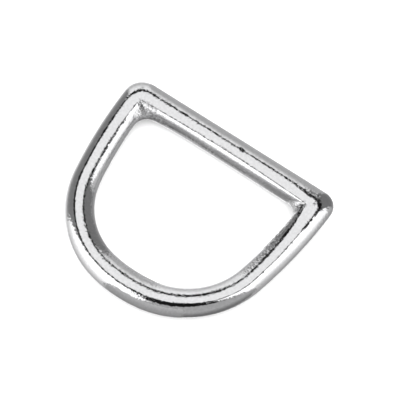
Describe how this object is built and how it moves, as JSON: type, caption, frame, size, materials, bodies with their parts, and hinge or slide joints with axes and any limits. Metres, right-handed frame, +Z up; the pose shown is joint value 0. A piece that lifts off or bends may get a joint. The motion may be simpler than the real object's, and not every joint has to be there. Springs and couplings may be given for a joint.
{
  "type": "d ring",
  "caption": "Cast metal D ring: a straight bar for a strap, two bowed legs and a round bow, one piece.",
  "frame": {"origin": "middle of the underside of the bounding box, on the surface that the ring lies on", "axes": "+X along the straight bar, +Y from the bow to the bar, +Z up from the underside"},
  "size_m": [0.0328, 0.0278, 0.0031],
  "materials": {
    "plated_metal": "bright nickel plate, polished on the outside and the top, with pitted and granular cast skin left in the inner corners and along the inner walls"
  },
  "bodies": {
    "root": {"d_ring": "plated_metal"}
  },
  "joints": []
}
